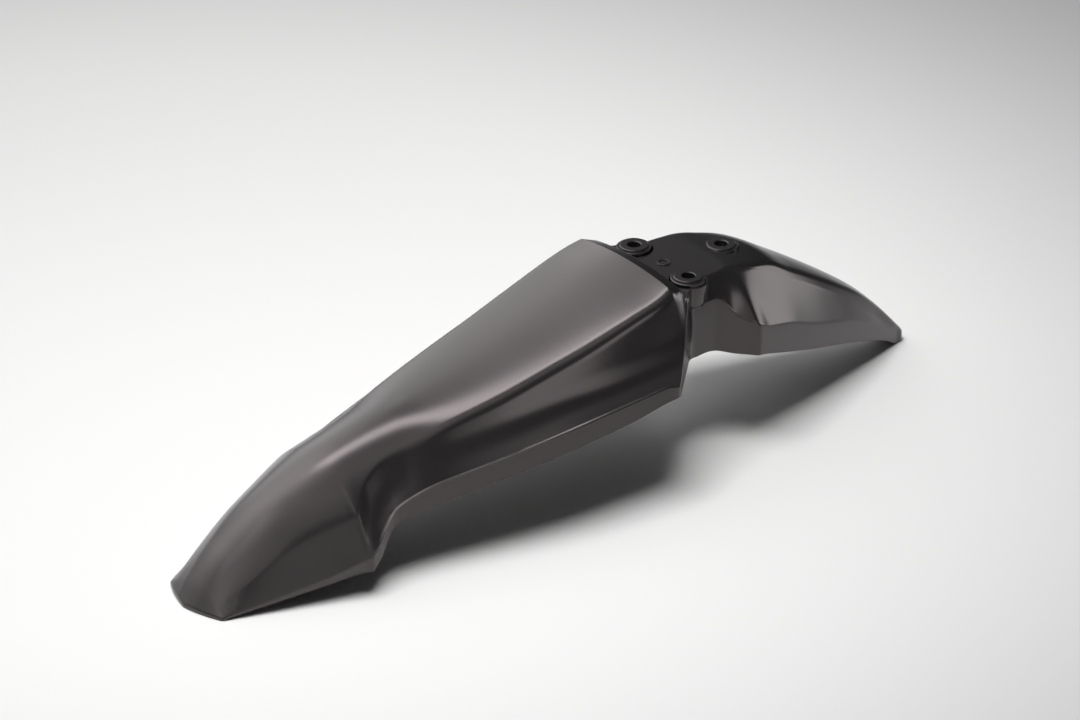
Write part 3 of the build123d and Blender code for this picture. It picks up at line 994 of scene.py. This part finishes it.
class RingTree:
    """A node tree that turns a piece from rings and sets copies of it on a line of seats."""

    start_radius: float = 0.01

    def __init__(self, name: str, sizes: tuple[str, ...], segments: int) -> None:
        """Start the tree.

        Args:
            name: Name of the tree.
            sizes: Names of its inputs.
            segments: Number of sides of each ring.
        """
        self.segments = segments
        self.tree = bpy.data.node_groups.new(name, "GeometryNodeTree")
        self.ids: dict[str, str] = {}
        kinds = {"Geometry": "NodeSocketGeometry", **dict.fromkeys(sizes, "NodeSocketFloat")}
        kinds.update({"Count": "NodeSocketInt", "Finish": "NodeSocketMaterial"})
        for size, kind in kinds.items():
            socket = self.tree.interface.new_socket(size, in_out="INPUT", socket_type=kind)
            self.ids[size] = socket.identifier
        self.tree.interface.new_socket("Geometry", in_out="OUTPUT", socket_type="NodeSocketGeometry")
        self.given = self.tree.nodes.new("NodeGroupInput")

    def node(self, kind: str, **inputs: object) -> bpy.types.Node:
        """Add a node of a kind to this tree, with its inputs linked or set by name."""
        return add_node(self.tree, kind, **inputs)

    def number(self, operation: str, a: object, b: object) -> bpy.types.NodeSocket:
        """Return the result of one step on two numbers, each an output or a plain value."""
        return add_step(self.tree, Arithmetic.NUMBERS, operation, a, b)

    def vector(self, operation: str, *terms: object) -> bpy.types.NodeSocket:
        """Return the result of one step on vectors, each an output or a plain value."""
        return add_step(self.tree, Arithmetic.VECTORS, operation, *terms)

    def total(self, terms: str) -> bpy.types.NodeSocket:
        """Add up named inputs.

        Args:
            terms: Names joined by " + " and " - ".

        Returns:
            The socket that gives the sum.
        """
        words = terms.replace(" - ", "|-").replace(" + ", "|").split("|")
        value: object = 0.0
        for word in words:
            operation = "SUBTRACT" if word.startswith("-") else "ADD"
            value = self.number(operation, value, self.given.outputs[word.lstrip("-")])
        return value

    def ring_place(self, radius: str, depth: str) -> bpy.types.NodeSocket:
        """Work out the place of a ring's points.

        Args:
            radius: Radius of the ring, as a sum of inputs.
            depth: Its depth below the seat, as a sum of inputs.

        Returns:
            The socket that gives the place.
        """
        place = self.node("GeometryNodeInputPosition").outputs[0]
        outwards = self.vector("NORMALIZE", self.vector("MULTIPLY", place, (1, 1, 0)))
        down = self.node("ShaderNodeCombineXYZ", Z=self.number("MULTIPLY", self.total(depth), -1.0))
        return self.vector("ADD", self.vector("SCALE", outwards, self.total(radius)), down.outputs[0])

    def turn(self, rings: tuple[tuple[str, str], ...]) -> bpy.types.NodeSocket:
        """Draw rings one after another, each pulled out of the one before, and close them.

        Args:
            rings: Radius and depth of each ring, as sums of inputs.

        Returns:
            The socket that gives the turned mesh.
        """
        circle = self.node("GeometryNodeMeshCircle", Vertices=self.segments, Radius=self.start_radius)
        first = self.node(
            "GeometryNodeSetPosition", Geometry=circle.outputs[0], Position=self.ring_place(*rings[0]))
        mesh, chosen = first.outputs[0], True
        for ring in (*rings[1:], rings[0]):
            pull = self.node("GeometryNodeExtrudeMesh", Mesh=mesh, Selection=chosen, Offset_Scale=0.0)
            pull.mode = "EDGES"
            chosen = pull.outputs["Top"]
            moved = self.node(
                "GeometryNodeSetPosition", Geometry=pull.outputs["Mesh"], Selection=chosen,
                Position=self.ring_place(*ring))
            mesh = moved.outputs[0]
        return self.node("GeometryNodeMergeByDistance", Geometry=mesh, Distance=SMALLEST_EDGE).outputs[0]

    def seat(self, mesh: bpy.types.NodeSocket) -> None:
        """Set a copy of the mesh on each seat of a row across the part and end the tree.

        Args:
            mesh: Socket that gives the mesh to copy.
        """
        spacing, count = self.given.outputs["Spacing"], self.given.outputs["Count"]
        width = self.number("MULTIPLY", spacing, self.number("SUBTRACT", count, 1.0))
        start = self.node(
            "ShaderNodeCombineXYZ", X=self.given.outputs["Reach"], Y=self.number("MULTIPLY", width, -0.5),
            Z=self.given.outputs["Height"])
        step = self.node("ShaderNodeCombineXYZ", Y=spacing)
        line = self.node(
            "GeometryNodeMeshLine", Count=count, Start_Location=start.outputs[0], Offset=step.outputs[0])
        copies = self.node("GeometryNodeInstanceOnPoints", Points=line.outputs[0], Instance=mesh)
        real = self.node("GeometryNodeRealizeInstances", Geometry=copies.outputs[0])
        dressed = self.node(
            "GeometryNodeSetMaterial", Geometry=real.outputs[0], Material=self.given.outputs["Finish"])
        feed(self.tree, self.node("NodeGroupOutput").inputs[0], dressed.outputs[0])

    def make(self, name: str, sizes: dict[str, object]) -> bpy.types.Object:
        """Make an object with this tree and turn the result into a plain mesh.

        Args:
            name: Name of the object.
            sizes: Value of each input, lengths in metres.

        Returns:
            The finished object.
        """
        piece = put_in_scene(name, bpy.data.meshes.new(name))
        modifier = piece.modifiers.new(name, "NODES")
        modifier.node_group = self.tree
        for size, value in sizes.items():
            modifier[self.ids[size]] = value
        settle(piece)
        form = bmesh.new()
        form.from_mesh(piece.data)
        bmesh.ops.recalc_face_normals(form, faces=form.faces)
        form.to_mesh(piece.data)
        form.free()
        shade(piece)
        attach(piece, "root")
        return piece


@dataclass
class ScrewSeats:
    """Collared screw seats: two on hollow columns in front, one on the spine behind."""

    sizes: Sizes
    edge: float = 0.7
    foot: float = 1.5
    segments: int = 72
    names: tuple[str, ...] = (
        "Bore", "Collar", "Flange", "Column", "Core", "Edge", "Foot", "Collar Height", "Column Top",
        "Ceiling", "Depth", "Spacing", "Reach", "Height")
    rings: tuple[tuple[str, str], ...] = (
        ("Bore", "Edge"), ("Bore + Edge", "Edge - Edge"), ("Collar - Edge", "Edge - Edge"),
        ("Collar", "Edge"), ("Collar", "Collar Height"), ("Flange - Edge", "Collar Height"),
        ("Flange", "Collar Height + Edge"),
        ("Flange", "Column Top"), ("Column - Edge", "Column Top"), ("Column", "Column Top + Edge"),
        ("Column", "Depth - Foot - Foot - Foot"), ("Column - Edge", "Depth - Foot - Foot"),
        ("Column - Edge - Edge - Edge", "Depth - Foot"), ("Core + Edge", "Depth"), ("Core", "Depth"),
        ("Core", "Ceiling"), ("Bore", "Ceiling"))
    pieces: list[bpy.types.Object] = field(default_factory=list)

    def build(self, finish: bpy.types.Material) -> list[bpy.types.Object]:
        """Build the front pair and the rear seat.

        Args:
            finish: Material of the seats.

        Returns:
            The two objects.
        """
        s = self.sizes
        tree = RingTree("screw_seat", self.names, self.segments)
        tree.seat(tree.turn(self.rings))
        shared = {
            "Bore": s.hole_diameter / 2 * MM, "Collar": s.collar_diameter / 2 * MM,
            "Flange": s.flange_diameter / 2 * MM, "Edge": self.edge * MM,
            "Collar Height": s.collar_height * MM, "Spacing": s.bolt_spacing * MM, "Finish": finish}
        front = {
            **shared, "Column": s.column_diameter / 2 * MM, "Core": (s.column_diameter / 2 - s.wall) * MM,
            "Column Top": s.deck_drop * MM, "Foot": self.foot * MM, "Ceiling": (s.deck_drop + s.wall) * MM,
            "Depth": (s.deck_drop + s.boss_depth) * MM, "Reach": 0.0, "Height": 0.0, "Count": 2}
        rear = {
            **shared, "Column": s.flange_diameter / 2 * MM, "Core": s.hole_diameter / 2 * MM,
            "Column Top": 2 * s.collar_height * MM, "Foot": 0.0, "Ceiling": s.rear_boss_depth * MM,
            "Depth": s.rear_boss_depth * MM, "Reach": -s.rear_bolt_setback * MM,
            "Height": -s.rear_seat_drop * MM, "Count": 1}
        self.pieces = [tree.make("front_screw_seats", front), tree.make("rear_screw_seat", rear)]
        return self.pieces


@dataclass
class MouldMark:
    """Plain raised ring on the deck."""

    sizes: Sizes
    edge: float = 0.3
    lift: float = 0.4
    segments: int = 64
    names: tuple[str, ...] = ("Outer", "Inner", "Edge", "Rise", "Spacing", "Reach", "Height")
    rings: tuple[tuple[str, str], ...] = (
        ("Inner", "Rise"), ("Inner", "Edge"), ("Inner + Edge", "Edge - Edge"),
        ("Outer - Edge", "Edge - Edge"), ("Outer", "Edge"), ("Outer", "Rise"))

    def build(self, finish: bpy.types.Material) -> bpy.types.Object:
        """Build the ring, its foot sunk a little into the deck.

        Args:
            finish: Material of the ring.

        Returns:
            The ring's object.
        """
        s = self.sizes
        tree = RingTree("mould_mark", self.names, self.segments)
        tree.seat(tree.turn(self.rings))
        return tree.make("mould_mark", {
            "Outer": s.mark_diameter / 2 * MM, "Inner": (s.mark_diameter / 2 - s.mark_width) * MM,
            "Edge": self.edge * MM, "Rise": (2 * s.mark_height + self.lift) * MM, "Spacing": 0.0,
            "Reach": s.mark_reach * MM, "Height": (s.mark_height + self.lift - s.deck_drop) * MM, "Count": 1,
            "Finish": finish})


@dataclass(frozen=True)
class SoftBox:
    """One oblong studio light, aimed at a point of the part and never seen itself."""

    name: str
    place: Place
    aim: Place
    size: tuple[float, float]
    power: float
    lights_floor: bool = True
    mirrored: bool = True

    def build(self) -> bpy.types.Object:
        """Build the light.

        Returns:
            The light's object.
        """
        lamp = bpy.data.lights.new(self.name, "AREA")
        lamp.shape = "RECTANGLE"
        lamp.size, lamp.size_y = self.size
        lamp.energy = self.power
        light = put_in_scene(self.name, lamp)
        light.location = self.place
        way = Vector(self.aim) - Vector(self.place)
        light.rotation_euler = way.to_track_quat("-Z", "Y").to_euler()
        light.visible_camera = False
        light.visible_diffuse = self.lights_floor
        light.visible_glossy = self.mirrored
        return light


@dataclass(frozen=True)
class SkyGlow:
    """A broad glow in the world round one direction, given in degrees."""

    heading: float
    height: float
    focus: float
    level: float

    def add(self, tree: bpy.types.NodeTree, way: bpy.types.NodeSocket) -> bpy.types.NodeSocket:
        """Add the glow to a world.

        Args:
            tree: Node tree of the world.
            way: Socket that gives the direction looked in.

        Returns:
            The socket of the glow's light.
        """
        middle = direction(math.radians(self.heading), math.radians(self.height))
        near = add_step(tree, Arithmetic.VECTORS, "DOT_PRODUCT", way, middle)
        power = add_step(tree, Arithmetic.NUMBERS, "MULTIPLY_ADD", near, self.focus, -self.focus)
        glow = add_step(tree, Arithmetic.NUMBERS, "EXPONENT", power)
        return add_step(tree, Arithmetic.NUMBERS, "MULTIPLY", glow, self.level)


@dataclass
class Studio:
    """Pale floor, soft light and the camera of the photograph."""

    sizes: Sizes
    floor_half: float = 7.0
    floor_gap: float = 0.05
    camera_azimuth: float = 50.8
    camera_elevation: float = 27.0
    camera_distance: float = 4.05
    camera_clip: tuple[float, float] = (0.1, 60.0)
    sensor_width: float = 36.0
    focal_pixels: float = 5000.0
    frame_pixels: tuple[int, int] = (1080, 720)
    origin_pixel: tuple[float, float] = (661.0, 259.5)
    ambient_share: float = 0.4
    window_edge: tuple[float, float] = (0.0, 0.4)
    window: SkyGlow = SkyGlow(heading=-74.0, height=55.0, focus=4.0, level=3.0)
    glows: tuple[SkyGlow, ...] = (
        SkyGlow(heading=-109.0, height=15.0, focus=30.0, level=1.0),
        SkyGlow(heading=56.0, height=10.0, focus=1.5, level=0.12),
        SkyGlow(heading=111.0, height=85.0, focus=25.0, level=0.8),
    )
    lights: tuple[SoftBox, ...] = (
        SoftBox("key_softbox", (0.33, 0.08, 1.7), (0.05, 0.0, -0.1), (1.1, 0.8), 33.0, mirrored=False),
        SoftBox("main_softbox", (-0.09, -0.6, 1.56), (0.05, 0.0, -0.1), (1.0, 0.36), 6.8, lights_floor=False),
        SoftBox(
            "back_card", (-0.765, -1.702, 1.166), (0.05, 0.0, -0.1), (0.45, 0.45), 1.0, lights_floor=False),
        SoftBox("front_panel", (1.55, 0.7, 1.41), (0.1, 0.0, -0.1), (1.8, 2.4), 9.0, lights_floor=False),
        SoftBox(
            "front_low_panel", (0.37, 1.90, 0.46), (0.1, 0.0, -0.1), (1.65, 1.45), 3.9, lights_floor=False),
        SoftBox(
            "side_reflector", (-2.25, 0.76, 0.28), (-0.15, 0.0, -0.06), (0.95, 1.1), 9.0, lights_floor=False),
        SoftBox("front_card", (-0.2, 1.42, 0.5), (0.1, 0.0, -0.07), (0.5, 0.6), 1.2, lights_floor=False),
    )

    def build(self) -> None:
        """Build the floor, lights, world and camera."""
        self.lay_floor()
        for light in self.lights:
            light.build()
        self.paint_world()
        self.set_camera()
        bpy.context.scene.view_settings.view_transform = "Standard"

    def lay_floor(self) -> bpy.types.Object:
        """Lay the floor that the nose and the tail rest on.

        Returns:
            The floor's object.
        """
        h = self.floor_half / MM
        z = -self.sizes.rest_depth - self.floor_gap
        corners = np.array([(-h, -h, z), (h, -h, z), (h, h, z), (-h, h, z)])
        floor = plain_mesh("studio_floor", corners, [(0, 1, 2, 3)])
        floor.data.materials.append(PaleFloor().make())
        return floor

    def paint_world(self) -> None:
        """Paint a dim world with a broad window at the left and a few soft glows."""
        world = bpy.data.worlds.new("studio_world")
        bpy.context.scene.world = world
        world.use_nodes = True
        tree = world.node_tree
        tree.nodes.clear()
        way = tree.nodes.new("ShaderNodeTexCoord").outputs["Generated"]
        azimuth = math.radians(self.camera_azimuth)
        left = (math.sin(azimuth), -math.cos(azimuth), 0)
        leftward = add_step(tree, Arithmetic.VECTORS, "DOT_PRODUCT", way, left)
        open_side = growing_share(tree, leftward, self.window_edge)
        sky = add_step(tree, Arithmetic.NUMBERS, "MULTIPLY", self.window.add(tree, way), open_side)
        for glow in self.glows:
            sky = add_step(tree, Arithmetic.NUMBERS, "ADD", sky, glow.add(tree, way))
        path = tree.nodes.new("ShaderNodeLightPath")
        light = add_node(tree, "ShaderNodeBackground", Color=sky, Strength=self.ambient_share)
        seen = add_node(tree, "ShaderNodeBackground", Color=sky)
        surface = light.outputs[0]
        for ray in ("Is Glossy Ray", "Is Transmission Ray", "Is Camera Ray"):
            choose = add_node(tree, "ShaderNodeMixShader", Fac=path.outputs[ray])
            feed(tree, choose.inputs[1], surface)
            feed(tree, choose.inputs[2], seen.outputs[0])
            surface = choose.outputs[0]
        add_node(tree, "ShaderNodeOutputWorld", Surface=surface)

    def set_camera(self) -> bpy.types.Object:
        """Set the camera so that the front screws fall where the photograph has them.

        Returns:
            The camera's object.
        """
        width, height = self.frame_pixels
        x = (self.origin_pixel[0] - width / 2) / self.focal_pixels
        y = (height / 2 - self.origin_pixel[1]) / self.focal_pixels
        azimuth = math.radians(self.camera_azimuth)
        back = direction(azimuth, math.radians(self.camera_elevation))
        pitch = math.asin(math.hypot(1, x, y) * -back.z / math.hypot(1, y)) - math.atan(y)
        turn = math.atan2(x, math.cos(pitch) - y * math.sin(pitch))
        ahead = direction(azimuth + math.pi + turn, pitch)
        lens = bpy.data.cameras.new("photo_camera")
        lens.sensor_fit = "HORIZONTAL"
        lens.sensor_width = self.sensor_width
        lens.lens = self.focal_pixels * self.sensor_width / width
        lens.clip_start, lens.clip_end = self.camera_clip
        camera = put_in_scene("photo_camera", lens)
        camera.location = back * self.camera_distance
        camera.rotation_euler = ahead.to_track_quat("-Z", "Y").to_euler()
        bpy.context.scene.camera = camera
        return camera


def main() -> None:
    """Build the mudguard and its studio in order, and report each piece."""
    logging.basicConfig(level=logging.INFO, format="%(name)s: %(message)s")
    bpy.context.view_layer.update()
    finish = SatinPlastic().make()
    shell = Shell(
        SIZES, {Stretch.FRONT: FRONT, Stretch.TAIL: TAIL},
        {Stretch.FRONT: FRONT_LOWER_EDGE, Stretch.TAIL: TAIL_LOWER_EDGE})
    made = [shell.build()]
    shell.dress(finish)
    made += ScrewSeats(SIZES).build(finish)
    made.append(MouldMark(SIZES).build(finish))
    for piece in made:
        LOG.info("%s: %d faces", piece.name, len(piece.data.polygons))
    Studio(SIZES).build()


if __name__ == "__main__":
    main()
